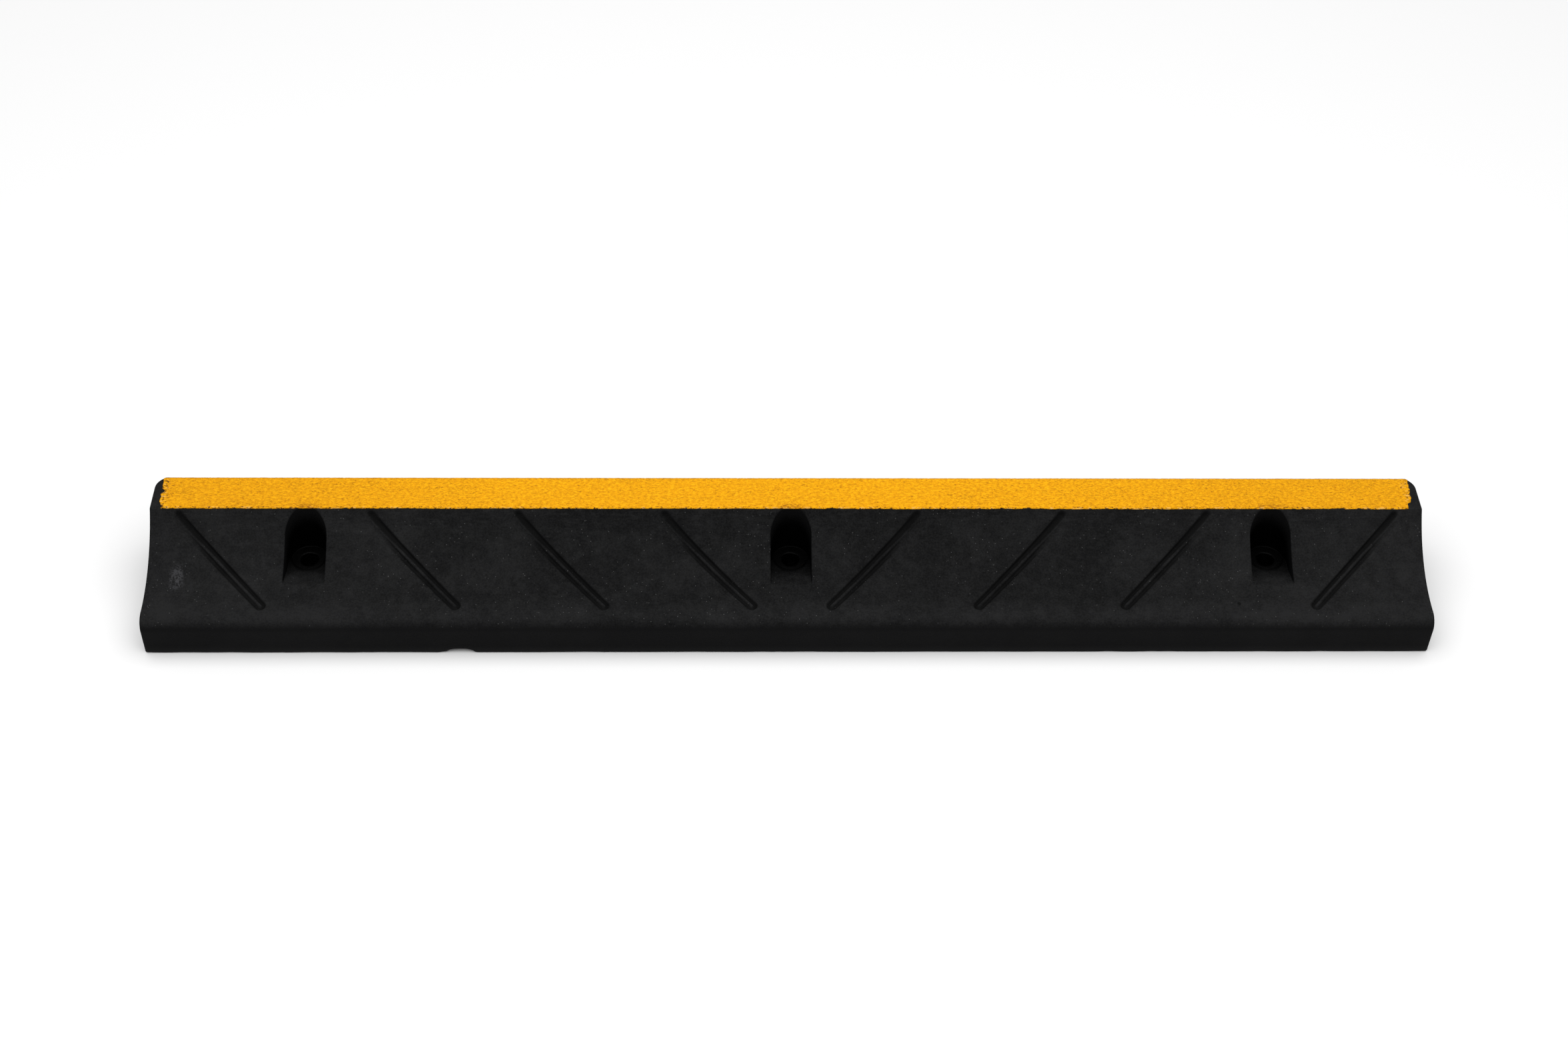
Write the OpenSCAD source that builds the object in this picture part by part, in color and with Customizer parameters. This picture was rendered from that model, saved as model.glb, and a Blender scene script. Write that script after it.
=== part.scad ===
// Parking wheel stop: a long moulded rubber bar with a sloping front, three recessed
// fixing holes and a yellow strip along its flat top.
// Millimetres. X runs along the bar, the front toe faces -Y, the base lies on Z = 0.

/* [Bar] */
// Overall length of the bar
length = 1000; // [850:5:1200]
// Depth of the bar from toe to back
width = 123; // [112:1:150]
// Overall height, strip included
height = 72; // [64:0.5:86]
// Height of the upright toe along the front
toe_height = 35; // [30:0.5:42]
// Rounding along the toe's upper edge
toe_round = 11; // [6:0.5:14]
// Radius of the hollow sweep from toe to top
sweep_radius = 95; // [90:1:112]
// Rounding along the back's upper edge
back_round = 3; // [1.5:0.5:8]
// Rounding of the two upright edges at the back
end_round = 11.5; // [3:0.5:14]

/* [Fixing recesses] */
// From each end of the bar to the outer fixing hole
hole_from_end = 121; // [105:1:135]
// Diameter of the clearance hole for a bolt
bolt_hole = 13.5; // [9:0.5:16]
// Recess radius at the mouth
recess_radius = 16; // [15:0.25:18]
// Recess radius down at the washer seat
seat_radius = 14.5; // [13:0.25:14.75]
// Depth of the washer seat below the toe's height
seat_drop = 4.5; // [3:0.25:8]
// Rise from the seat to the back of the channel floor
channel_step = 2.25; // [1:0.25:3]
// From the toe face to the front end of the channel
channel_front = 36.5; // [30:0.5:40]

/* [Diagonal marks] */
// Width of the shallow channel of a mark
mark_width = 9; // [7:0.5:11]
// Depth of that channel below the sweep
mark_depth = 1.75; // [1:0.25:3]
// Width of the bead that stands in the channel
bead_width = 3.5; // [2.5:0.25:4.5]
// Height of the bead above the sweep
bead_proud = 0.25; // [0:0.05:1.5]
// From the toe face to the lower end of a mark
mark_front = 13; // [12:0.5:20]
// From the upper end of a mark to the front edge of the top
mark_top_gap = 1.25; // [0.5:0.25:3]
// Outward lean of a mark along the bar, from its lower to its upper end
mark_lean = 68; // [50:0.5:75]
// Radius of the gentle bow in a mark
mark_bow = 500; // [300:10:900]
// From the middle of the bar to the first mark's lower end
mark_first = 31; // [28:0.5:38]
// From the third mark's upper end to the outer hole
mark_gap = 51; // [40:0.5:56]
// From the outer hole to the outermost mark's lower end
mark_last = 30.5; // [27:0.5:34]

/* [Strip] */
// Thickness of the yellow strip
strip_thickness = 0.6; // [0.4:0.1:1.5]
// Bare rubber left on the top at each end
strip_end_gap = 7.5; // [6:0.5:15]
// Bare rubber left along the strip's front edge
strip_front_gap = 0.5; // [0.5:0.25:4]

/* [Hidden] */
$fn = 96;
// slack past a face for a clean cut
cut = 1;
// overlap that joins one cut to the next
touch = 0.01;
// how far the foot of a bead reaches into the rubber
root = 0.5;
// height of the rubber alone
body_top = height - strip_thickness;
// centre of the sweep's arc, in depth and height
sweep_y = toe_round + 2;
sweep_z = toe_height + sweep_radius;
// where the sweep breaks through the top of the rubber
top_front = sweep_y + sqrt(pow(sweep_radius, 2) - pow(sweep_z - body_top, 2));
// the recess ends at the front edge of the top
hole_y = top_front - recess_radius;
hole_x = length / 2 - hole_from_end;
seat_z = toe_height - seat_drop;
// channel floor: back end beside the seat, front end on the sweep
channel_back = hole_y - seat_radius;
channel_back_z = seat_z + channel_step;
channel_front_z = sweep_z - sqrt(pow(sweep_radius, 2) - pow(channel_front - sweep_y, 2));
// a mark rises from its lower end to just short of the top's front edge
mark_end = mark_width / 2;
mark_low = mark_front + mark_end;
mark_rise = top_front - mark_top_gap - mark_end - mark_low;
mark_third = hole_x - mark_gap - mark_lean;
mark_step = (mark_third - mark_first) / 2;
mark_starts = [mark_first, mark_first + mark_step, mark_third, hole_x + mark_last];
// centre of a mark's bow, measured from its lower end
mark_chord = norm([mark_lean, mark_rise]);
bow_offset = sqrt(pow(mark_bow, 2) - pow(mark_chord / 2, 2)) / mark_chord;
bow_x = mark_lean / 2 + mark_rise * bow_offset;
bow_y = mark_rise / 2 - mark_lean * bow_offset;
bow_from = atan2(-bow_y, -bow_x);
bow_to = atan2(mark_rise - bow_y, mark_lean - bow_x);
// straight steps that draw a mark's bow and each of its round ends
bow_steps = 6;
end_steps = 8;
// the strip covers only the flat of the top, and stays inside the rounded back corners
corner_in = end_round - sqrt(pow(end_round, 2) - pow(max(end_round - back_round, 0), 2));
strip_length = length - 2 * max(strip_end_gap, corner_in);
strip_front = top_front + strip_front_gap;

// Section from toe (left) to back, before the sweep is taken out
module section_blank() {
    square([width, toe_height - toe_round]);
    translate([toe_round, 0]) square([width - toe_round, toe_height]);
    translate([toe_round, toe_height - toe_round]) circle(toe_round);
    translate([sweep_y, 0]) square([width - sweep_y, body_top - back_round]);
    translate([sweep_y, 0]) square([width - sweep_y - back_round, body_top]);
    translate([width - back_round, body_top - back_round]) circle(back_round);
}

module section() {
    difference() {
        section_blank();
        translate([sweep_y, sweep_z]) circle(sweep_radius, $fn = 360);
    }
}

// Stands a toe-to-back section up and runs it along the bar
module along_bar(run) {
    translate([-run / 2, -width / 2, 0])
        rotate([90, 0, 90]) linear_extrude(run) children();
}

// Outline seen from above, with its two back corners rounded
module plan_outline() {
    translate([-length / 2, -width / 2]) square([length, width - end_round]);
    translate([-length / 2 + end_round, -width / 2]) square([length - 2 * end_round, width]);
    for (side = [-1, 1])
        translate([side * (length / 2 - end_round), width / 2 - end_round]) circle(end_round);
}

module bar_blank() {
    intersection() {
        along_bar(length) section();
        translate([0, 0, -cut]) linear_extrude(height + cut) plan_outline();
    }
}

// Everything taken out for one fixing: bolt hole, tapered recess and front channel
module fixing_cut() {
    translate([0, hole_y - width / 2, 0]) {
        translate([0, 0, -cut]) cylinder(h = seat_z + 2 * cut, d = bolt_hole);
        translate([0, 0, seat_z])
            cylinder(h = body_top - seat_z, r1 = seat_radius, r2 = recess_radius);
        translate([0, 0, body_top - touch]) cylinder(h = cut, r = recess_radius);
    }
    along_bar(2 * recess_radius) channel_section();
}

module channel_section() {
    polygon([
        [channel_front, channel_front_z],
        [channel_back, channel_back_z],
        [hole_y, channel_back_z],
        [hole_y, body_top + cut],
        [channel_front, body_top + cut]
    ]);
}

// A point of a mark's bow, a share of the way up and off its middle line by the given amount
function bow_point(share, off) =
    let (a = bow_from + (bow_to - bow_from) * share)
    [bow_x + (mark_bow + off) * cos(a), bow_y + (mark_bow + off) * sin(a)];

// Points round one end of a slot: half a circle that starts in the given direction
function slot_end(middle, from, wide) = [
    for (i = [1:end_steps - 1])
        middle + wide / 2 * [cos(from - 180 * i / end_steps), sin(from - 180 * i / end_steps)]
];

// Plan of a round-ended, gently bowed slot that runs up and outwards
module slot_plan(wide) {
    polygon(concat(
        [for (i = [0:bow_steps]) bow_point(i / bow_steps, wide / 2)],
        slot_end([mark_lean, mark_rise], bow_to, wide),
        [for (i = [bow_steps:-1:0]) bow_point(i / bow_steps, -wide / 2)],
        slot_end([0, 0], bow_from + 180, wide)
    ));
}

// All the marks of one plan width, as upright prisms
module mark_prisms(wide) {
    for (side = [-1, 1], start = mark_starts)
        translate([side * start, mark_low - width / 2, toe_height / 2])
            mirror([side < 0 ? 1 : 0, 0, 0]) linear_extrude(height) slot_plan(wide);
}

// The space above the sweep, taken deeper by the given amount
module sweep_space(deeper) {
    along_bar(length + 2 * cut)
        translate([sweep_y, sweep_z]) circle(sweep_radius + deeper, $fn = 360);
}

module mark_beads() {
    difference() {
        intersection() {
            mark_prisms(bead_width);
            sweep_space(mark_depth + root);
        }
        sweep_space(-bead_proud);
    }
}

module rubber_body() {
    color([0.07, 0.07, 0.075]) {
        difference() {
            bar_blank();
            for (x = [-hole_x, 0, hole_x]) translate([x, 0, 0]) fixing_cut();
            intersection() {
                mark_prisms(mark_width);
                sweep_space(mark_depth);
            }
        }
        mark_beads();
    }
}

module yellow_top_strip() {
    color([1, 0.7, 0.05])
        translate([-strip_length / 2, strip_front - width / 2, body_top])
            cube([strip_length, width - back_round - strip_front, strip_thickness]);
}

rubber_body();
yellow_top_strip();
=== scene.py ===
# %% [markdown]
# # A rubber parking wheel stop
#
# A wheel stop is a heavy bar of moulded rubber that is bolted to the ground at the end of a parking
# bay. This one has an upright toe, a hollow sweep up to a flat top, three recesses for its bolts,
# eight diagonal marks moulded into the sweep, and a coarse yellow coat along the top.
#
# The design comes from a CAD model in model.glb. It is loaded first and never moved. Its sizes are
# repeated below, and the finer surfaces made here follow its solids. They add what the CAD leaves out:
# eased edges, soft-sided marks, rolled rims, wear, and recesses whose mouths lean back.

# %% Load the frame
import bpy
import numpy as np
from mathutils import Matrix


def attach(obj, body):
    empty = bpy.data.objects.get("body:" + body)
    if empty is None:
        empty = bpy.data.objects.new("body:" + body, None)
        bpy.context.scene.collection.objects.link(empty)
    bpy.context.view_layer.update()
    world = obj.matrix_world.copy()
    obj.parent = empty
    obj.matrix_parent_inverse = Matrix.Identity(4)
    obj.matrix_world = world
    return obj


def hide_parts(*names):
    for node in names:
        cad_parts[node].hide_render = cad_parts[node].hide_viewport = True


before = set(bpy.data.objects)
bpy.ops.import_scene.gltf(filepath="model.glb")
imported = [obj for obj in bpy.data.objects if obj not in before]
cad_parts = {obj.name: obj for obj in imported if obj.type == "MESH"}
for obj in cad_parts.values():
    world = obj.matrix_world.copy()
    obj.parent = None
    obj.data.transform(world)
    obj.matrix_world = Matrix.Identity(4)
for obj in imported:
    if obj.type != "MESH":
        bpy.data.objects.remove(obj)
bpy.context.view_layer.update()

# %% [markdown]
# ## The camera
#
# A long bar looks calm when it is seen square on and from well above, with an ordinary 50 mm lens.
# The camera stands about 1.8 m away and looks down at 45 degrees, turned and rolled by a degree or
# two as a hand-held camera is. It could be aimed with a Track To constraint. Its three axes are
# worked out from the angles instead, so nothing has to follow a target.

# %% Camera
LOOK_DOWN, TURN, ROLL = np.radians([45.0, 2.36, 1.70])
AIM = np.array([-0.0063, -0.0012, 0.0831])
STAND_OFF = 1.772
SENSOR_MM, LENS_MM = 36.0, 52.63


def camera_axes(down, turn, roll):
    """Right, up and back axes of a camera that is turned about the vertical, tipped down, then rolled."""
    right = np.array([np.cos(turn), -np.sin(turn), 0.0])
    ahead = np.array([np.sin(turn) * np.cos(down), np.cos(turn) * np.cos(down), -np.sin(down)])
    up = np.cross(right, ahead)
    rolled_right = np.cos(roll) * right + np.sin(roll) * up
    rolled_up = np.cos(roll) * up - np.sin(roll) * right
    return rolled_right, rolled_up, -ahead


camera = bpy.data.objects.new("camera", bpy.data.cameras.new("camera"))
bpy.context.scene.collection.objects.link(camera)
camera.data.sensor_fit = "HORIZONTAL"
camera.data.sensor_width = SENSOR_MM
camera.data.lens = LENS_MM
place = np.eye(4)
place[:3, :3] = np.column_stack(camera_axes(LOOK_DOWN, TURN, ROLL))
place[:3, 3] = AIM + STAND_OFF * place[:3, 2]
camera.matrix_world = Matrix(place.tolist())
bpy.context.scene.camera = camera
print("camera stands at", np.round(place[:3, 3], 3))

# %% [markdown]
# ## The sizes
#
# Millimetres are easier to read than metres for an object like this, so the shapes are worked out in
# millimetres and turned to metres when a mesh is made. Depth runs from 0 at the toe face to WIDTH at
# the back; the frame's origin lies in the middle of the base, so half the width comes off at the end.

# %% Sizes
LENGTH, WIDTH = 1000.0, 123.0
RUBBER_TOP = 71.4  # the coat makes it 72
TOE, TOE_ROUND, TOE_LEVEL = 35.0, 11.0, 2.0
SWEEP = 95.0
SWEEP_Y, SWEEP_Z = TOE_ROUND + TOE_LEVEL, TOE + SWEEP
CREST_ROUND, BACK_ROUND, EDGE_ROUND, CORNER_ROUND = 2.5, 3.0, 0.9, 11.5
TOP_FRONT = SWEEP_Y + np.sqrt(SWEEP**2 - (SWEEP_Z - RUBBER_TOP) ** 2)

RECESS, SEAT_RADIUS, BOLT = 16.0, 14.5, 6.75
LEAN_BACK = 1.2  # how much further back the recess's arch lies than the CAD's
END_TO_HOLE, SEAT_DROP = 121.0, 4.5
HOLE_Y, HOLE_X, SEAT_Z = TOP_FRONT - RECESS, LENGTH / 2 - END_TO_HOLE, TOE - SEAT_DROP
CHANNEL_FRONT, CHANNEL_BACK = 36.5, HOLE_Y - SEAT_RADIUS
SILL = 2.25  # the channel's floor stands this far above the washer seat

MARK_WIDTH, MARK_DEPTH, MARK_LEAN, MARK_BOW = 9.0, 1.75, 68.0, 500.0
MARK_FRONT, MARK_TOP_GAP = 13.0, 1.25
MARK_LOW = MARK_FRONT + MARK_WIDTH / 2
MARK_RISE = TOP_FRONT - MARK_TOP_GAP - MARK_WIDTH / 2 - MARK_LOW
MARK_FIRST, MARK_BEFORE_HOLE, MARK_PAST_HOLE = 31.0, 51.0, 30.5
MARK_THIRD = HOLE_X - MARK_BEFORE_HOLE - MARK_LEAN
MARK_SECOND = (MARK_FIRST + MARK_THIRD) / 2
MARK_STARTS = np.array([MARK_FIRST, MARK_SECOND, MARK_THIRD, HOLE_X + MARK_PAST_HOLE])
print("front edge of the top", round(TOP_FRONT, 2), "mark starts", MARK_STARTS)


def ease(x, low, high):
    """Smooth step: 0 below low, 1 above high, and 3t^2 - 2t^3 of the share t in between."""
    t = np.clip((np.asarray(x, float) - low) / (high - low), 0.0, 1.0)
    return t * t * (3.0 - 2.0 * t)


# %% [markdown]
# ## The section of the bar
#
# Seen from its end the bar is one outline: up the toe, round its upper edge, along the hollow sweep,
# over a small rounded crest, across the flat top and down the back. It could be a curve with a
# depth, but the marks and recesses need to know the height at any place. So one function gives the
# height of the upper side for each depth, and a second gives the direction it faces.

# %% Height and facing of the upper side
CREST_Z = RUBBER_TOP - CREST_ROUND
CREST_Y = SWEEP_Y + np.sqrt((SWEEP + CREST_ROUND) ** 2 - (SWEEP_Z - RUBBER_TOP + CREST_ROUND) ** 2)
CREST_START = SWEEP_Y + (CREST_Y - SWEEP_Y) * SWEEP / (SWEEP + CREST_ROUND)
BACK_START = WIDTH - BACK_ROUND


def across(radius, off):
    """Half the chord of a circle at a distance off its centre: sqrt(radius^2 - off^2)."""
    return np.sqrt(np.clip(radius**2 - off**2, 0, None))


def hill(y):
    """Height at depth y: toe's quarter circle, sweep's hollow arc, crest's arc, level, back's arc."""
    y = np.asarray(y, float)
    toe = TOE - TOE_ROUND + across(TOE_ROUND, TOE_ROUND - y)
    sweep = SWEEP_Z - across(SWEEP, y - SWEEP_Y)
    crest = CREST_Z + across(CREST_ROUND, CREST_Y - y)
    back = RUBBER_TOP - BACK_ROUND + across(BACK_ROUND, y - BACK_START)
    return np.select(
        [y < TOE_ROUND, y < SWEEP_Y, y < CREST_START, y < CREST_Y, y < BACK_START],
        [toe, TOE + 0 * y, sweep, crest, RUBBER_TOP + 0 * y], back)


def facing(y, step=0.02):
    """Unit direction (depth, height) square to the upper side: (-slope, 1) / sqrt(1 + slope^2)."""
    rise = (hill(y + step) - hill(y - step)) / (2 * step)
    size = np.sqrt(1 + rise**2)
    return -rise / size, 1 / size


print("heights at depths 0.5, 12, 50, 88, 110:", np.round(hill([0.5, 12, 50, 88, 110]), 2))

# %% [markdown]
# ## A box of grid lines, pushed to shape
#
# An even grid would waste thousands of faces on plain rubber and still be too coarse for the marks.
# So the grid lines are laid where the detail is. Rows run along the bar, close together at the
# rounded edges and where the marks are. Columns run from toe to back, close together at the marks,
# and lean over with them. Between marks they fan out again.

# %% Rows: depths and heights of the upper side
def arc(a, b, n):
    """n angles from a to b in degrees, evenly spaced, without the last one."""
    return np.radians(np.linspace(a, b, n + 1)[:-1])


toe_turn, back_turn = arc(0, 90, 8), arc(90, 0, 5)
WINDOW_LOW, WINDOW_HIGH = 33.0, 92.0  # depths between which a recess is let in
toe_rows = np.r_[TOE_ROUND * (1 - np.cos(toe_turn)), TOE_ROUND, 12.2, 13.4]
low_rows = np.r_[np.linspace(14.4, 24.0, 12), np.linspace(26.0, WINDOW_LOW, 4)]
sweep_rows = np.r_[np.linspace(WINDOW_LOW, 76.0, 25)[1:], np.linspace(77.2, 86.2, 9)]
crest_rows = np.linspace(CREST_START, CREST_Y, 6)
flat_rows = [90.2, WINDOW_HIGH, 96, 102, 107, 111.5, 113.7, 115.9, 118]
back_rows = np.r_[WIDTH - BACK_ROUND * (1 - np.cos(back_turn)), WIDTH]
top_y = np.concatenate([toe_rows, low_rows, sweep_rows, crest_rows, flat_rows, back_rows])
top_z = hill(top_y)
top_z[:len(toe_turn)] = TOE - TOE_ROUND + TOE_ROUND * np.sin(toe_turn)
top_z[-len(back_rows):] = RUBBER_TOP - BACK_ROUND * (1 - np.sin(np.r_[back_turn, 0.0]))
print(len(top_y), "rows over the top,", "all forward:", bool((np.diff(top_y) > 0).all()))

# %% [markdown]
# The toe face and the back are plain, so a few rows are enough there. The upper side, the back, the
# base and the toe are then joined into one loop of points, each with the direction it faces. The
# marks and the eased edges move points along that direction.

# %% Sides of the section, joined into one loop
front_z = np.array([0.0, 1.0, 3.0, 6.0, 9.0, 12.0, 15.0, 18.0, 20.5, 22.5])
back_z = np.array([0.0, 1.0, 4.0, 12.0, 24.0, 38.0, 50.0, 58.0, 63.0, 66.3])
ROWS, SIDE = len(top_y) - 1, len(front_z)
low_row = int(np.argmin(abs(top_y - WINDOW_LOW)))
high_row = int(np.argmin(abs(top_y - WINDOW_HIGH)))
row_number = np.arange(ROWS + 1)
base_y = np.where(row_number < low_row, WINDOW_LOW * row_number / low_row, top_y)[:0:-1]
no_front, no_back, no_base = 0 * front_z, 0 * back_z, 0 * base_y

loop_y = np.concatenate([no_front, top_y[:-1], no_back + WIDTH, base_y])
loop_z = np.concatenate([front_z, top_z[:-1], [top_z[-1]], back_z[:0:-1], no_base])
face_y, face_z = facing(top_y[1:-1])
out_y = np.concatenate([no_front - 1, [-1], face_y, no_back + 1, no_base])
out_z = np.concatenate([no_front, [0], face_z, no_back, no_base - 1])
TOP0, BACK0, BASE0 = SIDE, SIDE + ROWS, 2 * SIDE + ROWS
LOOP = len(loop_y)

LOWER_EASE = 0.3  # the two lower edges are cut back by this, where a sharp corner would catch
loop_y[0], loop_z[0], out_z[0] = LOWER_EASE, LOWER_EASE, -1.0
loop_y[BASE0], loop_z[BASE0], out_y[BASE0] = WIDTH - LOWER_EASE, LOWER_EASE, 1.0
size = np.hypot(out_y, out_z)
out_y, out_z = out_y / size, out_z / size
print("the section loop has", LOOP, "points; window rows", low_row, "to", high_row)

# %% [markdown]
# The columns come from a few control lines. Each has a place along the bar at the toe, and leans or
# stands. How far a leaning line has gone over at a given depth is a circular arc, because the real
# marks are very slightly bowed. Between two control lines the columns are shared out evenly.

# %% Control lines along the bar
chord = np.hypot(MARK_LEAN, MARK_RISE)
bow_reach = np.sqrt(MARK_BOW**2 - chord**2 / 4) / chord
BOW_X = MARK_LEAN / 2 + MARK_RISE * bow_reach
BOW_Y = MARK_RISE / 2 - MARK_LEAN * bow_reach


def lean(y):
    """How far along a mark has gone at depth y: bow centre - sqrt(radius^2 - (depth - centre)^2)."""
    v = np.clip(np.asarray(y, float) - MARK_LOW, 0, MARK_RISE)
    return BOW_X - np.sqrt(MARK_BOW**2 - (v - BOW_Y) ** 2)


BAND, BAND_CELLS = 7.4, 16  # half the strip of close columns that follows a mark, and its cells
WIN, WIN_CELLS = 18.0, 20  # half the width of a recess's window, and its cells
first, second, third, fourth = MARK_STARTS

# one row per control line: place at the toe, 1 if it leans, cells up to the next line
control = np.array([
    [0, 0, WIN_CELLS // 2], [WIN, 0, 4],
    [first - BAND, 1, BAND_CELLS], [first + BAND, 1, 12],
    [second - BAND, 1, BAND_CELLS], [second + BAND, 1, 8],
    [238, 1, 9],
    [third - BAND, 1, BAND_CELLS], [third + BAND, 1, 13],
    [HOLE_X - WIN, 0, WIN_CELLS], [HOLE_X + WIN, 0, 3],
    [fourth - BAND, 1, BAND_CELLS], [fourth + BAND, 1, 9],
    [LENGTH / 2, 0, 0]])
cells = control[:, 2].astype(int)
ticks = np.concatenate([[0], np.cumsum(cells)[:-1]])
window_tick = ticks[int(np.argmin(abs(control[:, 0] - (HOLE_X - WIN))))]
half_cols = np.arange(ticks[-1] + 1)
back_share = np.interp(np.arange(SIDE), [0, SIDE - 1], [1, 0]) * MARK_LEAN
side_share = np.concatenate([no_front, lean(top_y[:-1]), back_share, no_base])
print(len(control), "control lines for half the bar, a mark leans over by", round(float(lean(WIDTH)), 2))

# %% [markdown]
# ## The ends of the bar
#
# Both ends are cut square, but the two upright corners at the back are rounded in plan at 11.5 mm.
# The edges all round an end are eased by about a millimetre, as moulded rubber is. A Bevel modifier
# would ease the marks' edges as well, so the last columns turn the corner themselves. The easing is
# left out where the rounded back corner already meets the back smoothly.

# %% Columns up to the ends and round their edges
NEAR_END = 0.9  # the last upright column stands this far before the eased edge
EASE_STEPS = 7


def end_face(y):
    """Reach of the end at depth y: straight, then reach - radius + sqrt(radius^2 - in^2) at the back."""
    back = np.clip(y - (WIDTH - CORNER_ROUND), 0, CORNER_ROUND)
    return LENGTH / 2 - CORNER_ROUND + np.sqrt(CORNER_ROUND**2 - back**2)


def spread(values):
    """Values at the control lines, shared out evenly over the columns between them."""
    return np.interp(half_cols, ticks, values)


def both_halves(half, sign):
    """The other half of the bar as a mirror image (sign -1) or a copy (sign 1), then this half."""
    return np.vstack([sign * half[:0:-1], half])


# the way the end faces, seen from above, and how sharp the edge is that it makes with the skin
turned = np.clip(loop_y - (WIDTH - CORNER_ROUND), 0, CORNER_ROUND) / CORNER_ROUND
end_out_x, end_out_y = np.sqrt(1 - turned**2), turned
edge_round = EDGE_ROUND * (1 - np.clip(out_y * end_out_y, 0, 1))
end_reach = LENGTH / 2 - end_face(loop_y) + edge_round * end_out_x + NEAR_END

plain = spread(control[:, 0])[:, None]
leaning = spread(control[:, 1])[:, None]
last = spread(np.r_[np.zeros(len(control) - 1), 1.0])[:, None]
half_x = plain + leaning * side_share - last * end_reach

turn_a = np.radians(np.linspace(0, 90, EASE_STEPS + 1)[1:])[:, None]
down_in = edge_round * (1 - np.cos(turn_a))
side_in = edge_round * (1 - np.sin(turn_a))
spare = NEAR_END * (1 - turn_a / turn_a[-1])
half_x = np.vstack([half_x, end_face(loop_y) - side_in * end_out_x - spare])
untouched = np.zeros((len(half_cols), LOOP))
grid_x = both_halves(half_x, -1)
sink = both_halves(np.vstack([untouched, down_in]), 1)
draw_in = both_halves(np.vstack([untouched, side_in * end_out_y]), 1)
COLS = len(grid_x) - 1
print(COLS, "columns,", COLS * LOOP, "rectangles round the bar")

# %% [markdown]
# ## The marks
#
# Each mark is a slim bead standing in a shallow channel, about 9 mm wide in all with a round lower
# end. They could be cut with a Boolean, which leaves hard edges and slivers. Here a mark is a distance:
# how far a point lies from the bowed centre line. Within about 4 mm the surface sinks, and within
# about 1.5 mm it comes back up. Towards the crest the bead and the downhill side of the channel melt
# into the sweep. A painted shade along the channel is kept too, for the rubber's colour.

# %% Depth of the marks
CHANNEL_SIDE, BEAD_SIDE = (2.9, 4.8), (0.5, 2.1)  # where each slope starts and ends, from the middle
BEAD_PROUD, MELT = 0.1, 0.85


def mark_relief(x, y):
    """Height to add, square to the surface (bead minus channel), and the painted shade of the channel."""
    relief, shade = np.zeros(x.shape), np.zeros(x.shape)
    for start in MARK_STARTS:
        u, v = np.abs(x) - start, y - MARK_LOW
        side = np.hypot(u - BOW_X, v - BOW_Y) - MARK_BOW
        along = (u * MARK_LEAN + v * MARK_RISE) / chord**2
        past_ends = [np.hypot(u, v), np.hypot(u - MARK_LEAN, v - MARK_RISE)]
        off = np.select([along < 0, along > 1], past_ends, np.abs(side))
        fade = ease(along, 0.55, 0.95)
        lower_side = ease(-side, -0.5, 0.5)
        kept = 1 - MELT * (lower_side * fade)
        relief += -MARK_DEPTH * kept * (1 - ease(off, *CHANNEL_SIDE))
        relief += (MARK_DEPTH + BEAD_PROUD) * (1 - ease(off, *BEAD_SIDE)) * (1 - MELT * fade)
        # painted shade: a dark band along the channel, set by the distance from the mark's middle
        groove = 1 - ease(np.abs(off - 2.8 + 1.3 * fade), 0.8 + 0.6 * fade, 2.2 + 0.4 * fade)
        shade += groove * kept * (1 - 0.15 * lower_side) * ease(1.07 - along, 0.0, 0.05)
    return relief, np.clip(shade, 0, 1)


upper = slice(TOP0, BACK0)
relief, shade = np.zeros(grid_x.shape), np.zeros(grid_x.shape)
upper_y = np.broadcast_to(loop_y[upper], grid_x[:, upper].shape)
relief[:, upper], shade[:, upper] = mark_relief(grid_x[:, upper], upper_y)
shift = relief - sink
grid_y = loop_y + shift * out_y - draw_in
grid_z = loop_z + shift * out_z
print("marks go", round(float(relief.min()), 2), "to", round(float(relief.max()), 2), "mm from the sweep")

# %% [markdown]
# ## The recesses
#
# A recess lets the bolt's head and washer sit below the sweep, and its channel lets water run out.
# It starts as a rectangular window left open in the grid. Rings of points shrink from the window's
# edge to the rim of the recess, roll over the rim, go down the wall, cross the channel's ramp to the
# washer seat, drop through the bolt hole and open out again under the base. Every ring has the same
# number of points, so neighbouring rings join with plain rectangles, which a Boolean wouldn't give.
#
# The arch at the back of the rim lies 1.2 mm further back than in the CAD, and the wall below it
# leans forward to the seat. That is why the coat reaches a little over the crown of each recess.

# %% Outline of a recess
RIM_CORNER = 2.5


def ramp(y):
    """Floor of the channel: level beside the seat, then a straight rise to the sweep at its front end."""
    rise = (hill(CHANNEL_FRONT) - SEAT_Z - SILL) / (CHANNEL_BACK - CHANNEL_FRONT)
    return SEAT_Z + SILL + rise * np.clip(CHANNEL_BACK - y, 0, None)


def circle(x, y, radius, angles):
    """Points on a circle: centre + radius * (cos, sin) of the angle."""
    return np.column_stack([x + radius * np.cos(angles), y + radius * np.sin(angles)])


def resample(line, shares):
    """Points at the given shares of the line's length, each in between its two neighbours."""
    run = np.concatenate([[0], np.cumsum(np.hypot(*np.diff(line, axis=0).T))])
    return np.column_stack([np.interp(shares * run[-1], run, line[:, k]) for k in (0, 1)])


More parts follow.
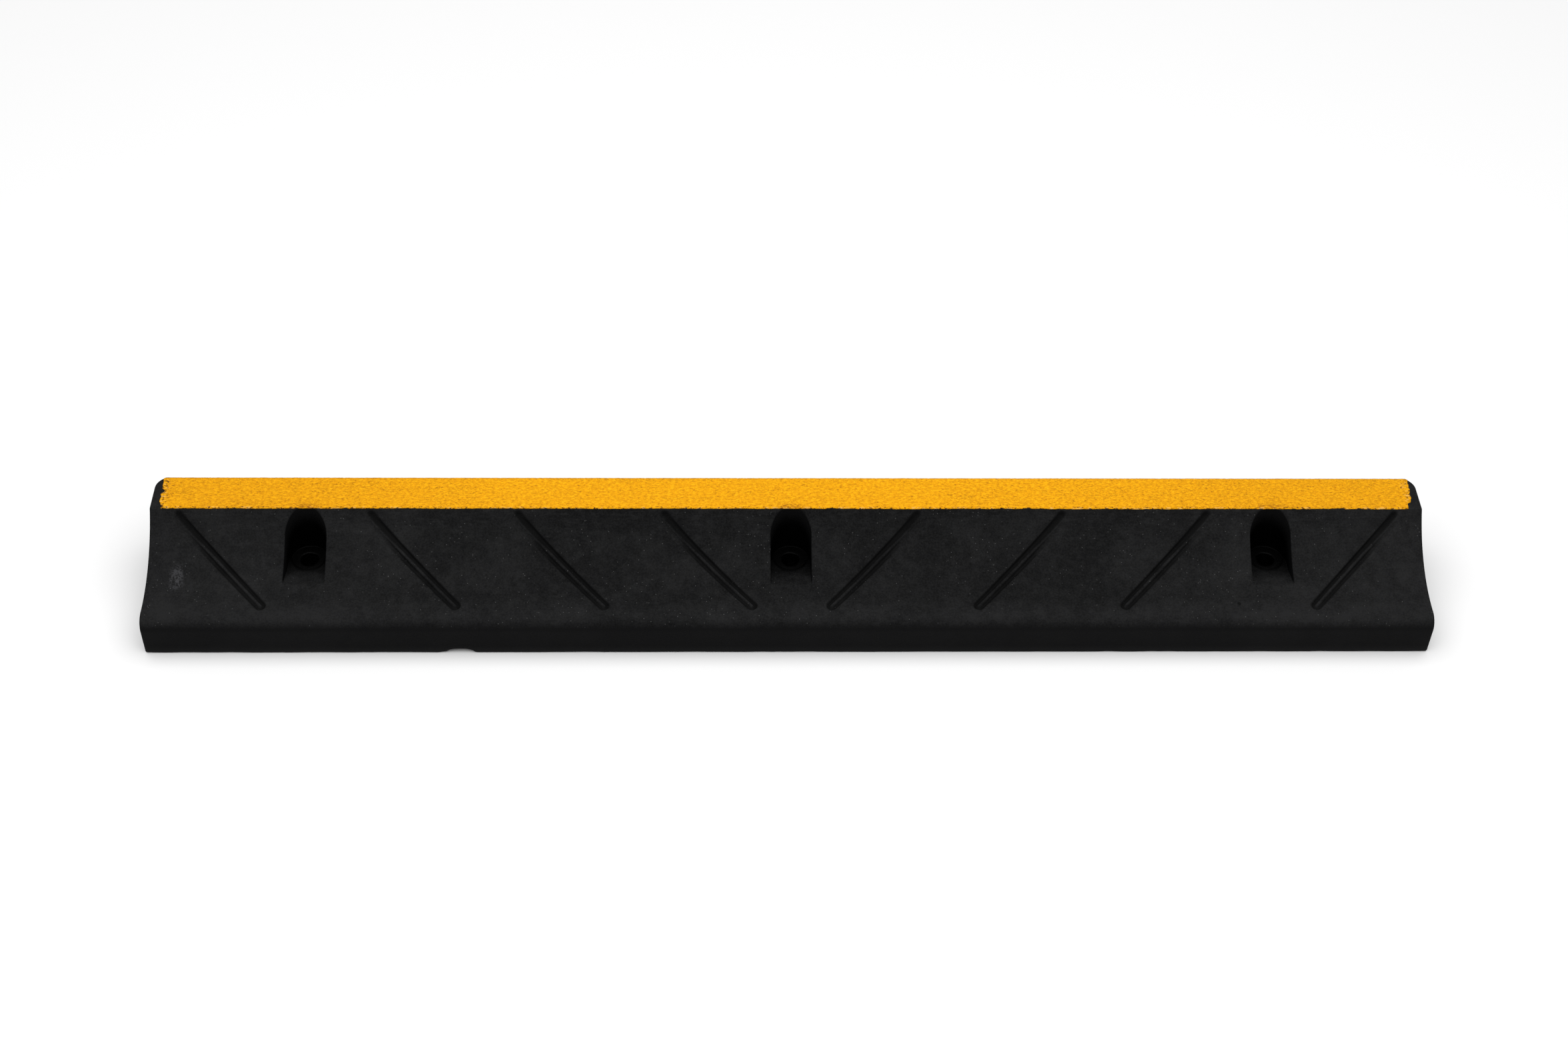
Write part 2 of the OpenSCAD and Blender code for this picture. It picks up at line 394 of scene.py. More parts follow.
def outline(side_shares):
    """Four sides of the rim, as (x, depth) from the recess's middle: front, right, arch, left."""
    t = np.linspace(0, 1, 40)
    eighth = np.radians(45 * t)
    x0, y0, y1 = RECESS - RIM_CORNER, CHANNEL_FRONT + RIM_CORNER, HOLE_Y + LEAN_BACK
    right_low = circle(x0, y0, RIM_CORNER, -eighth[::-1])
    right_up = np.column_stack([0 * t + RECESS, y0 + (y1 - y0) * t])
    right_arch = circle(0.0, y1, RECESS, eighth)
    right = np.vstack([right_low, right_up[1:], right_arch[1:]])
    front_right = np.column_stack([x0 + RIM_CORNER * np.sin(eighth), y0 - RIM_CORNER * np.cos(eighth)])
    front = np.vstack([front_right[::-1] * [-1, 1], front_right])
    arch = circle(0.0, y1, RECESS, np.radians(45 + 90 * t))
    sides = [front, right, arch, right[::-1] * [-1, 1]]
    return [resample(side, shares) for side, shares in zip(sides, side_shares)]


def shares_of(places):
    """Places along a line as shares of the way from its first to its last."""
    return (places - places[0]) / (places[-1] - places[0])


print("the channel's floor at its front, in mm:", round(float(ramp(CHANNEL_FRONT)), 2))

# %% [markdown]
# The window's edge follows the grid, so its points are already set. The rim gets one point for each
# of them, side by side, at the same share of the way along each of its four sides. The direction
# into the recess is square to the line between a rim point's two neighbours.

# %% Window edge and rim, point by point
win_x = np.linspace(-WIN, WIN, WIN_CELLS + 1)
win_y = top_y[low_row:high_row + 1]
edge_sides = [
    np.column_stack([win_x, 0 * win_x + WINDOW_LOW]),
    np.column_stack([0 * win_y + WIN, win_y]),
    np.column_stack([win_x[::-1], 0 * win_x + WINDOW_HIGH]),
    np.column_stack([0 * win_y - WIN, win_y[::-1]])]
edge_pts = np.vstack([side[:-1] for side in edge_sides])
x_shares, y_shares = shares_of(win_x), shares_of(win_y)
rim_sides = outline([x_shares, y_shares, x_shares, 1 - y_shares[::-1]])
rim_pts = np.vstack([side[:-1] for side in rim_sides])
tangent = np.roll(rim_pts, -1, 0) - np.roll(rim_pts, 1, 0)
tangent /= np.linalg.norm(tangent, axis=1)[:, None]
inward = np.column_stack([-tangent[:, 1], tangent[:, 0]])
print(len(rim_pts), "points round each recess")

# %% [markdown]
# Round the rim the wall changes: at the back it is tall and tapers to the seat, along the channel it
# gets lower, and at the front it runs out to nothing. So the drop at the rim, the small fillet at the
# foot and the taper of the wall are each a value for every point round the rim.

# %% Rings of a recess, from the window edge down to the base
RIM_ROLL, RIM_DROP, FOOT = 1.0, 1.0, 0.6
TAPER_BACK, TAPER_SIDE = 1.5, 0.35
rear = ease(rim_pts[:, 1], HOLE_Y - 1.5, HOLE_Y + 0.5)
angle = np.arctan2(rim_pts[:, 1] - HOLE_Y, rim_pts[:, 0])


def floor_at(plan):
    """Height of the recess's floor: the channel's ramp in front, the washer seat at the back."""
    return ramp(plan[:, 1]) * (1 - rear) + SEAT_Z * rear


def round_hole(radius):
    """A ring round the bolt's axis, with one point for each point of the rim."""
    return circle(0.0, HOLE_Y, radius, angle)


floor_z = floor_at(rim_pts)
wall = np.clip(hill(rim_pts[:, 1]) - floor_z, 0, None)
rim_drop = np.minimum(RIM_DROP, 0.05 + 0.5 * wall)
foot = np.minimum(FOOT, 0.3 * wall + 0.02)
draft = (TAPER_BACK + LEAN_BACK * np.clip(np.sin(angle), 0, 1)) * rear + TAPER_SIDE * (1 - rear)
rings = []


def add_ring(plan, z):
    """Keeps one ring: its plan as (x, depth) and its height, which may be one number."""
    rings.append(np.column_stack([plan, np.broadcast_to(z, len(plan))]))


outer_rim = rim_pts - RIM_ROLL * inward
for s in np.linspace(0, 1, 8)[1:]:
    plan = edge_pts + (outer_rim - edge_pts) * s
    add_ring(plan, hill(plan[:, 1]))
for a in np.radians([25, 50, 72, 90]):
    plan = rim_pts - (1 - np.sin(a)) * RIM_ROLL * inward
    add_ring(plan, hill(plan[:, 1]) - rim_drop * (1 - np.cos(a)))
wall_top = rings[-1][:, 2]
for s in (0.2, 0.45, 0.7, 1.0):
    add_ring(rim_pts + (draft * s)[:, None] * inward, wall_top + (floor_z + foot - wall_top) * s)
for a in np.radians([35, 65, 90]):
    plan = rim_pts + (draft + 0.5 * (1 - np.cos(a)))[:, None] * inward
    add_ring(plan, floor_z + foot * (1 - np.sin(a)))
print(len(rings), "rings to the foot of the wall")

# %% [markdown]
# The floor is drawn in to a circle just inside the washer seat's edge, where the channel's floor
# steps down to the seat. The bolt hole's upper edge isn't quite round, as a hole in soft rubber
# seldom is. Its lower edge opens out to meet the base.

# %% Washer seat, bolt hole and base
SEAT_EDGE = 13.95
BORE_STEPS = [(11.0, 0), (9.0, 0), (7.8, -0.03), (7.25, -0.2), (6.95, -0.7),
              (BOLT, -1.8), (BOLT, -8), (BOLT, -16), (BOLT, -24)]
BASE_STEPS = [(BOLT, 1.0), (7.0, 0.3), (7.6, 0.0)]

floor_edge = rings[-1][:, :2].copy()
for s in (0.12, 0.3, 0.5, 0.7, 0.88, 1.0):
    plan = floor_edge + (round_hole(SEAT_EDGE) - floor_edge) * s
    add_ring(plan, floor_at(plan))
add_ring(round_hole(13.8), SEAT_Z + (rings[-1][:, 2] - SEAT_Z) * 0.75)
add_ring(round_hole(13.6), SEAT_Z + SILL * (1 - rear) * 0.2)
add_ring(round_hole(13.4), SEAT_Z)
torn = 0.12 * np.sin(3 * angle + 1.0) + 0.08 * np.sin(7 * angle + 2.0)
for radius, z in BORE_STEPS:
    add_ring(round_hole(radius + torn * (radius < 8)), SEAT_Z + z)
for radius, z in BASE_STEPS:
    add_ring(round_hole(radius), z)
base_hole = round_hole(BASE_STEPS[-1][0])
for s in (0.15, 0.4, 0.7):
    add_ring(base_hole + (edge_pts - base_hole) * s, 0.0)
rings = np.array(rings)
print(len(rings), "rings")

# %% [markdown]
# ## One closed skin
#
# Now everything is joined: the rectangles round the bar without the windows, the rings, and a patch
# of rectangles over each end. Separate pieces could be pushed into each other, but then the rubber
# would have cracks where they meet. Here the edges are shared, so the skin is closed.

# %% Faces round the bar
FLIP = [0, 3, 2, 1]
points = []


def add_points(place):
    """Keeps new points and gives their numbers, in the same rows as the points."""
    first_id = sum(len(kept) for kept in points)
    points.append(place.reshape(-1, 3))
    return first_id + np.arange(place.size // 3).reshape(place.shape[:-1])


def looped(ids):
    """The first column of a grid of point numbers once more after its last, so that it closes."""
    return np.hstack([ids, ids[:, :1]])


def sheet(ids):
    """A rectangle for every four neighbours in a grid: (i, j), (i+1, j), (i+1, j+1), (i, j+1)."""
    return np.stack([ids[:-1, :-1], ids[1:, :-1], ids[1:, 1:], ids[:-1, 1:]], -1).reshape(-1, 4)


vertex = add_points(np.stack([grid_x, grid_y, grid_z], -1))
middle = COLS // 2
first_cols = [middle - WIN_CELLS // 2, middle + window_tick, middle - window_tick - WIN_CELLS]
keep = np.ones((COLS, LOOP), bool)
for c in first_cols:
    keep[c:c + WIN_CELLS, TOP0 + low_row:TOP0 + high_row] = False
    keep[c:c + WIN_CELLS, BASE0 + ROWS - high_row:BASE0 + ROWS - low_row] = False
faces = [sheet(looped(vertex))[keep.ravel()]]
print(len(faces[0]), "rectangles round the bar, windows at columns", first_cols)

# %% [markdown]
# An end is flat, so one large face would do, but it shades badly next to a rounded edge. A few rings
# step inwards from the outline first. Then the points inside are blended from the four sides, which
# is called a Coons patch: each point is the sum of the two blends, side to side and top to bottom,
# less the blend of the four corners that is counted twice.

# %% Faces over the ends
END_RINGS = (0.25, 0.6, 1.1, 1.65, 2.2)
BACK_LIMIT = WIDTH - 0.35


def end_patch(col, sign):
    """Closes one end, facing sign: rings inwards from the outline, then the Coons patch inside them."""
    ring, ring_ids = points[0][vertex[col]], vertex[col]
    share = 0.08 + 0.92 * np.clip(out_y * end_out_y, 0, 1) * ease(ring[:, 2], 0, 8)
    for step_in in END_RINGS:
        place = ring - step_in * share[:, None] * np.column_stack([0 * out_y, out_y, out_z])
        place[:, 0] = sign * end_face(place[:, 1])
        new_ids = add_points(place)
        faces.append(sheet(looped(np.array([ring_ids, new_ids][::sign]))))
        ring_ids = new_ids
    front = np.arange(SIDE + 1)
    top = TOP0 + np.arange(ROWS + 1)
    back = BACK0 + np.arange(SIDE + 1)
    base = (BASE0 + ROWS - np.arange(ROWS + 1)) % LOOP
    ids = np.full((ROWS + 1, SIDE + 1), -1)
    ids[0, :], ids[:, SIDE], ids[ROWS, ::-1], ids[:, 0] = (ring_ids[k] for k in (front, top, back, base))
    front_side, top_side, back_side, base_side = (place[k] for k in (front, top, back[::-1], base))
    u = (np.arange(ROWS + 1) / ROWS)[:, None, None]
    v = (np.arange(SIDE + 1) / SIDE)[None, :, None]
    side_to_side = (1 - u) * front_side + u * back_side
    corners = (1 - u) * (1 - v) * base_side[0] + u * (1 - v) * base_side[-1]
    corners = corners + (1 - u) * v * top_side[0] + u * v * top_side[-1]
    blend = side_to_side + (1 - v) * base_side[:, None] + v * top_side[:, None] - corners
    blend[:, :, 1] = np.minimum(blend[:, :, 1], BACK_LIMIT)
    blend[:, :, 0] = sign * end_face(blend[:, :, 1])
    inner = np.s_[1:-1, 1:-1]
    ids[inner] = add_points(blend[inner])
    faces.append(sheet(ids)[:, ::sign])


end_patch(COLS, 1)
end_patch(0, -1)
print(sum(len(part) for part in faces), "rectangles with the ends")

# %% [markdown]
# The same rings serve all three recesses, moved along the bar. The first row of numbers is the
# window's edge in the upper side and the last is its twin in the base, so a recess hangs between two
# windows that already exist.

# %% Faces of the recesses
for c, centre in zip(first_cols, (0.0, HOLE_X, -HOLE_X)):
    cols, rows = np.arange(c, c + WIN_CELLS + 1), np.arange(low_row, high_row + 1)
    steps = [(cols[:-1], 0 * cols[:-1] + rows[0]), (0 * rows[:-1] + cols[-1], rows[:-1]),
             (cols[:0:-1], 0 * cols[:-1] + rows[-1]), (0 * rows[:-1] + cols[0], rows[:0:-1])]
    col_of, row_of = (np.concatenate([step[k] for step in steps]) for k in (0, 1))
    ids = add_points(rings + [centre, 0, 0])
    ids = np.vstack([vertex[col_of, TOP0 + row_of], ids, vertex[col_of, BASE0 + ROWS - row_of]])
    faces.append(sheet(looped(ids))[:, FLIP])
print(sum(len(part) for part in faces), "rectangles with the recesses")

# %% [markdown]
# ## From points to a piece
#
# A mesh could be built face by face, but whole arrays go in at once. The helper turns millimetres to
# metres, drops the points that the windows left unused, makes the mesh and prints its own check: the
# number of triangles, whether the mesh is closed, and its volume, the sum of one sixth of
# a . (b x c) over its triangles.

# %% Helper: a checked mesh object from points and rectangles
def make_piece(name, points, faces, **kept):
    """Millimetres to metres, depth to the frame's own depth, then one mesh with its kept values."""
    used, faces = np.unique(faces, return_inverse=True)
    faces = faces.reshape(-1, 4)
    place = (np.asarray(points)[used] - [0, WIDTH / 2, 0]) * 0.001
    mesh = bpy.data.meshes.new(name)
    mesh.from_pydata(place, [], faces)
    mesh.polygons.foreach_set("use_smooth", np.ones(len(faces), bool))
    for key, values in kept.items():
        layer = mesh.attributes.new(key, "FLOAT", "POINT")
        layer.data.foreach_set("value", values[used].astype(np.float32))
    mesh.update()
    piece = bpy.data.objects.new(name, mesh)
    bpy.context.scene.collection.objects.link(piece)
    edges = np.sort(np.stack([faces, np.roll(faces, -1, 1)], -1).reshape(-1, 2), 1)
    closed = bool((np.unique(edges, axis=0, return_counts=True)[1] == 2).all())
    a, b, c, d = (place[faces[:, k]] for k in range(4))
    sixths = np.einsum("ij,ij->i", a, np.cross(b, c)) + np.einsum("ij,ij->i", a, np.cross(c, d))
    cubic_cm = round(sixths.sum() / 6 * 1e6, 1)
    print(name, len(faces) * 2, "triangles, closed:", closed, "volume cm3", cubic_cm)
    return piece


def waver(n, spacing, size, seed):
    """n values of smooth wandering: random numbers every few steps, joined by 3t^2 - 2t^3."""
    r = np.random.default_rng(seed).uniform(-1, 1, int(n / spacing) + 3)
    at = np.arange(n) / spacing
    k, t = at.astype(int), at % 1.0
    return size * (r[k] + (r[k + 1] - r[k]) * t * t * (3 - 2 * t))


# %% [markdown]
# ## The foot of the bar
#
# The lower front edge of the real bar isn't quite straight, and left of the middle a little rubber
# is missing, so that light shows under it in a flat arch. Sculpting could do it. Two wavering lines
# and one arch are simpler: they lift the points near that edge and fade out above and behind it.

# %% The rubber body's skin
ARCH_X, ARCH_HALF, ARCH_HIGH = -257.0, 11.5, 4.0


def rough_foot(p):
    """Lift = wavering line + high * (1 - ((x - middle) / half)^4), faded with depth and height."""
    uneven = 0.3 + waver(int(LENGTH) + 1, 17, 0.3, 31) + waver(int(LENGTH) + 1, 5, 0.15, 32)
    along_bar = np.arange(int(LENGTH) + 1) - LENGTH / 2
    arch = ARCH_HIGH * np.clip(1 - ((p[:, 0] - ARCH_X) / ARCH_HALF) ** 4, 0, None)
    lift = np.interp(p[:, 0], along_bar, np.clip(uneven, 0, None)) + arch
    lift = lift * (1 - ease(p[:, 1], 4, 22)) * (1 - ease(p[:, 2], 0.5, 16))
    return p + np.column_stack([0 * lift, 0 * lift, lift])


skin_points = rough_foot(np.vstack(points))
shade = np.concatenate([shade.ravel(), np.zeros(len(skin_points) - shade.size)])
rubber = make_piece("rubber_body_skin", skin_points, np.vstack(faces), mark_shade=shade)
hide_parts("rubber_body")
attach(rubber, "root")

# %% [markdown]
# ## The yellow coat
#
# The coat is a thin, coarse layer that follows the top and starts just over its front edge. It looks
# put on by hand: its front edge is nibbled, and its ends are torn and chipped. A Solidify modifier
# could thicken one sheet of it, but its edges would be too clean. So it is a thin slab between two
# sheets over a rectangle whose four sides are wavering lines, made from seeded random numbers.
#
# The left end has a nick at mid depth and has lost its front corner. The right end is 3.6 mm shorter
# along its front sixth and runs out further towards the back. The coat stops 1.3 mm before the back.

# %% Wavering edges of the coat
COAT_COLS, COAT_ROWS = 900, 24
n, m = COAT_COLS + 1, COAT_ROWS + 1
s, t = np.linspace(0, 1, n)[:, None], np.linspace(0, 1, m)[None, :]
chips = np.clip(waver(n, 4, 1.0, 3) + waver(n, 61, 0.6, 4) - 0.95, 0, None) * 1.6
front_edge = 87.6 + waver(n, 2.2, 0.13, 1) + waver(n, 11, 0.16, 2) + chips
back_edge = WIDTH - 1.3 + waver(n, 7, 0.12, 5)
nick = 2.2 * (1 - ease(np.abs(t[0] - 0.54), 0.02, 0.09))
lost_corner = 1.8 * (1 - ease(t[0], 0.06, 0.16))
left_edge = -492.6 + waver(m, 1.7, 0.5, 11) - 1.4 * t[0] + nick + lost_corner
right_edge = 488.6 + waver(m, 1.7, 0.5, 13) + 3.6 * ease(t[0], 0.17, 0.22) + 2.6 * t[0]
coat_y = front_edge[:, None] * (1 - t) + back_edge[:, None] * t
room = end_face(coat_y) - EDGE_ROUND
coat_x = np.clip(left_edge[None, :] * (1 - s) + right_edge[None, :] * s, -room, room)
print("the coat reaches from", round(float(coat_x.min()), 1), "to", round(float(coat_x.max()), 1), "mm")

# %% [markdown]
# The upper sheet is lifted by about half a millimetre, more or less at each grain. The lower one is
# sunk into the rubber, so that no gap shows along the edges.

# %% The slab
COAT, COAT_SUNK = 0.5, 0.35
COAT_THINNEST, COAT_THICKEST = 0.3, 0.58


def coat_layer(lift):
    """The coat's top or underside: the upper side of the rubber moved square to itself by lift."""
    ny, nz = facing(coat_y)
    return np.stack([coat_x, coat_y + lift * ny, hill(coat_y) + lift * nz], -1)


grain = np.random.default_rng(21).normal(0, 0.05, coat_x.shape)
layer_top = coat_layer(np.clip(COAT + grain, COAT_THINNEST, COAT_THICKEST))
layer_under = coat_layer(-COAT_SUNK)
ids = np.arange(2 * n * m).reshape(2, n, m)
border = [ids[:, :, 0], ids[:, -1, :], ids[:, ::-1, -1], ids[:, 0, ::-1]]
walls = [sheet(pair[::-1])[:, FLIP] for pair in border]
coat_points = np.concatenate([layer_top.reshape(-1, 3), layer_under.reshape(-1, 3)])
coat = make_piece("yellow_coat", coat_points, np.vstack([sheet(ids[0]), sheet(ids[1])[:, FLIP], *walls]))
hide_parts("yellow_top_strip")
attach(coat, "root")

# %% [markdown]
# ## Finishes as sums
#
# A finish could be wired by hand in the shader editor, but it is easier to read as arithmetic. This
# small class wraps a node's output, so `1 - dust * 0.3` adds the Math nodes itself. Colours go
# through Mix nodes, and every other node comes from one method.

# %% A socket that does arithmetic
class Sock:
    """One output of a material's node tree, or a way to make any node in it."""

    def __init__(self, tree, out=None):
        self.tree, self.out = tree, out

    def node(self, kind, settings=None, output=0, **inputs):
        """Adds a node: settings first, then values or links for its inputs by name or number (_0)."""
        made_node = self.tree.nodes.new(kind)
        for key, value in (settings or {}).items():
            setattr(made_node, key, value)
        for key, value in inputs.items():
            numbered = key[0] == "_"
            socket = made_node.inputs[int(key[1:]) if numbered else key.replace("_", " ")]
            if isinstance(value, Sock):
                self.tree.links.new(value.out, socket)
            else:
                socket.default_value = value
        return Sock(self.tree, made_node.outputs[output])

    def math(self, operation, *values):
        """One Math node; with no values given it works on this socket alone."""
        inputs = {f"_{k}": value for k, value in enumerate(values or (self,))}
        return self.node("ShaderNodeMath", {"operation": operation}, **inputs)

    def __add__(self, other):
        return self.math("ADD", self, other)

    def __radd__(self, other):
        return self.math("ADD", other, self)

    def __sub__(self, other):
        return self.math("SUBTRACT", self, other)

    def __rsub__(self, other):
        return self.math("SUBTRACT", other, self)

    def __mul__(self, other):
        return self.math("MULTIPLY", self, other)

    def __rmul__(self, other):
        return self.math("MULTIPLY", other, self)

    def step(self, low, high):
        """0 below low, 1 above high, smooth between; with low above high it runs the other way."""
        smooth = {"interpolation_type": "SMOOTHSTEP"}
        return self.node("ShaderNodeMapRange", smooth, Value=self, From_Min=low, From_Max=high)

    def mix(self, share, rgb):
        """This colour, turned into rgb by share."""
        return self.node("ShaderNodeMix", {"data_type": "RGBA"}, 2, _0=share, _6=self, _7=(*rgb, 1.0))


print("sockets can now be added, subtracted, multiplied, stepped and mixed")

# %% [markdown]
# A few helpers start a finish and read where a point lies. All patterns use the piece's own
# coordinates, in metres, so they stay on the piece when it is moved.

# %% Helpers for a finish
def new_finish(name):
    """A material with one shader, a maker of nodes, and the piece's own coordinates in metres."""
    material = bpy.data.materials.new(name)
    material.use_nodes = True
    maker = Sock(material.node_tree)
    coords = maker.node("ShaderNodeTexCoord", output=3)
    return material, material.node_tree.nodes["Principled BSDF"], maker, coords


def noise(maker, coords, scale, detail=2.0, rough=0.5, stretch=(1, 1, 1), offset=(0, 0, 0)):
    """Noise with features about 1/scale metres across, longer along an axis whose stretch is below 1."""
    placed = maker.node("ShaderNodeMapping", Vector=coords, Scale=stretch, Location=offset)
    kind = {"noise_type": "FBM", "normalize": True}
    sizes = {"Scale": scale, "Detail": detail, "Roughness": rough}
    return maker.node("ShaderNodeTexNoise", kind, Vector=placed, **sizes)


def colour(maker, rgb):
    """A plain colour to start a chain of mixes from."""
    plain_rgb = (*rgb, 1.0)
    return maker.node("ShaderNodeMix", {"data_type": "RGBA"}, 2, _0=0.0, _6=plain_rgb, _7=plain_rgb)


def split(maker, vector):
    """The three parts of a vector, as three sockets."""
    parts = maker.node("ShaderNodeSeparateXYZ", _0=vector)
    return [Sock(maker.tree, part) for part in parts.out.node.outputs]


def to_nearest_hole(along):
    """Distance along the bar to the nearest of the three bolt holes."""
    off_middle = along.math("ABSOLUTE")
    off_outer = (off_middle - HOLE_X / 1000).math("ABSOLUTE")
    return off_outer.math("MINIMUM", off_outer, off_middle)


def finish(shader, **inputs):
    """Links or sets the shader's inputs by name."""
    for key, value in inputs.items():
        socket = shader.inputs[key.replace("_", " ")]
        if isinstance(value, Sock):
            value.tree.links.new(value.out, socket)
        else:
            socket.default_value = value


print("helpers: new_finish, noise, colour, split, to_nearest_hole and finish")

# %% [markdown]
# ## Black rubber
#
# Moulded rubber from recycled granules is not plain black. It is a very dark grey with soft clouds,
# faint drawn streaks near the crest, and a film of dust that lies on what faces up and is thicker
# towards both ends, so the upright toe gets painted shade. A painted texture would show its repeats on
# a bar this long, so noise at several sizes is added up instead. The recesses and the marks' channels
# get painted shade, nearly black, and the toe's upper edge and the foot of the upright faces get
# painted light.

# %% Where the rubber is dusty and where it is dark
rubber_mat, shader, maker, coords = new_finish("moulded_black_rubber")
along, depth, height = split(maker, coords)
off_middle = along.math("ABSOLUTE")
from_toe = depth + WIDTH / 2000
facing_up = split(maker, maker.node("ShaderNodeNewGeometry", output=1))[2].step(0.15, 0.75)
in_sweep = from_toe - SWEEP_Y / 1000
sweep_height = SWEEP_Z / 1000 - ((SWEEP / 1000) ** 2 - in_sweep * in_sweep).math("SQRT")
between_depths = from_toe.step(0.034, 0.037) * (1 - from_toe.step(0.088, 0.089))
between_ends = (0.4995 - off_middle).step(0.0, 0.0005)
# painted shade mask: 1 deep in a recess, more than about 2.5 mm under the sweep
recess_shade_mask = (sweep_height - height).step(0.0025, 0.019) * between_depths * between_ends
# painted shade of the marks' channels, kept at each point of the mesh
mark_shade = maker.node("ShaderNodeAttribute", {"attribute_name": "mark_shade"}, 2)

clouds = noise(maker, coords, 24.0, 4.0, 0.65)
blotches = noise(maker, coords, 130.0, 4.0, 0.7, offset=(3, 1, 0))
grain = noise(maker, coords, 700.0, 3.0, 0.75)
streaks = noise(maker, coords, 420.0, 3.0, 0.6, stretch=(0.16, 1, 1))
near_crest = height.step(0.045, 0.066)
# painted highlight: a lighter band along the toe's rounded upper edge
toe_lip_highlight = height.step(0.0300, 0.0345) * (1 - from_toe.step(0.012, 0.026))
# painted light: the floor's bounce, lighter on faces that don't face up, within 9 mm of the ground
floor_bounce_light = 1 - height.step(0.0, 0.009)

dust_and_light = 0.14 + clouds.step(0.36, 0.70) * 0.30 + blotches.step(0.38, 0.72) * 0.38
dust_and_light = dust_and_light + (grain - 0.5) * 2.0 + streaks.step(0.5, 0.72) * near_crest * 0.35
dust_and_light = dust_and_light + off_middle.step(0.2, 0.46) * 0.25
# dust lies only where the surface faces up: real dust, and painted shade that keeps the upright toe darker
dust_and_light = dust_and_light.math("MAXIMUM", dust_and_light, 0.0) * facing_up
# adds the painted highlight on the toe's upper edge and the painted floor bounce low on upright faces
dust_and_light = dust_and_light + toe_lip_highlight * 0.22 + floor_bounce_light * (1 - facing_up) * 0.5
print("nodes for the dust:", len(rubber_mat.node_tree.nodes))

# %% [markdown]
# Fine pale specks are caught in the grain, thinly spread and in loose crowds. Small pits lie beside
# the recesses near the crest, and one stands alone above the toe, near the right recess; they are
# painted darker than the rubber, as painted shade in the pits. The left end has one scuff. Particles
# could scatter them, but a Voronoi texture is lighter: each of its cells has one dot, and a random
# number for the cell decides whether the dot shows.

# %% Specks, pits and a scuff
DOTS_PER_METRE = 560.0
LONE_PIT = (0.349, 0.019)
SCUFF = (-0.4765, 0.0425)
near_dot = maker.node("ShaderNodeTexVoronoi", Vector=coords, Scale=DOTS_PER_METRE)
dot_place = maker.node("ShaderNodeTexVoronoi", output=2, Vector=coords, Scale=DOTS_PER_METRE)
dot_chance = maker.node("ShaderNodeTexWhiteNoise", Vector=dot_place)
crowd = noise(maker, coords, 16.0, 3.0, 0.6, offset=(0, 7, 0)).step(0.42, 0.66)
shown = (dot_chance + crowd * 0.12 - 0.96).step(0.0, 0.04)
specks = (0.22 - near_dot).step(0.0, 0.08) * shown * facing_up

pitted = (1 - to_nearest_hole(along).step(0.018, 0.030)) * height.step(0.046, 0.056)
dropped_out = (0.24 * pitted + 0.02 - dot_chance).step(0.0, 0.02)
pits = (0.26 - near_dot).step(0.0, 0.06) * dropped_out * facing_up
lone_x, lone_y = along - LONE_PIT[0], from_toe - LONE_PIT[1]
lone_pit = 1 - (lone_x * lone_x + lone_y * lone_y).step(0.0000011, 0.0000026)
pits = pits.math("MAXIMUM", pits, lone_pit)

scuff_x, scuff_y = along - SCUFF[0], from_toe - SCUFF[1]
scuff_oval = 1 - (scuff_x * scuff_x * 60000 + scuff_y * scuff_y * 22000).step(0.0, 3.6)
scuff = scuff_oval * (blotches + grain - 1.0).step(-0.06, 0.16)
print("nodes with the specks and pits:", len(rubber_mat.node_tree.nodes))

# %% [markdown]
# The colour starts nearly black and each layer is mixed over the last one: dust with painted light
# and shade, specks, the scuff, pits with painted shade, then painted shade in the marks and in the
# recesses. The gloss is low and uneven. Two Bump nodes give the surface its fine grain and its slow
# waves.

# %% Rubber colour, gloss and grain
RUBBER, DUSTY_AND_LIT, SPECK = (0.0040, 0.0040, 0.0042), (0.0158, 0.0159, 0.0162), (0.12, 0.12, 0.12)
# the channel and recess colours are near black: painted shade
SCUFFED, PIT_SHADE, CHANNEL_SHADE, RECESS_SHADE = (0.07, 0.07, 0.075), (0.002,) * 3, (0.0012,) * 3, (0.0,) * 3
# the dusty grey also carries the painted highlight, the painted bounce light and the toe's painted shade
base = colour(maker, RUBBER).mix(dust_and_light, DUSTY_AND_LIT).mix(specks * 0.6, SPECK)
# pits are darker than the rubber itself: painted shade in the pits
base = base.mix(scuff * 0.5, SCUFFED).mix(pits * 0.8, PIT_SHADE)
# painted shade: near black in the marks' channels and deep in the recesses
base = base.mix(mark_shade * 0.82, CHANNEL_SHADE).mix(recess_shade_mask * 0.94, RECESS_SHADE)
dull = (0.70 - clouds.step(0.4, 0.7) * 0.08 + dust_and_light * 0.08) * (1 - recess_shade_mask * 0.45)

fine = noise(maker, coords, 1300.0, 2.0, 0.6)
waves = noise(maker, coords, 28.0, 2.0, 0.5)
grain_height = fine * 0.35 + grain * 0.6 + streaks * near_crest * 0.3 - pits * 0.5
grained = maker.node("ShaderNodeBump", Strength=0.55, Distance=0.0005, Height=grain_height)
wavy = maker.node("ShaderNodeBump", Strength=0.3, Distance=0.0015, Height=waves, Normal=grained)
finish(shader, Base_Color=base, Roughness=dull, Normal=wavy)
finish(shader, Specular_IOR_Level=0.05)
rubber.data.materials.append(rubber_mat)
print("rubber finish nodes:", len(rubber_mat.node_tree.nodes))

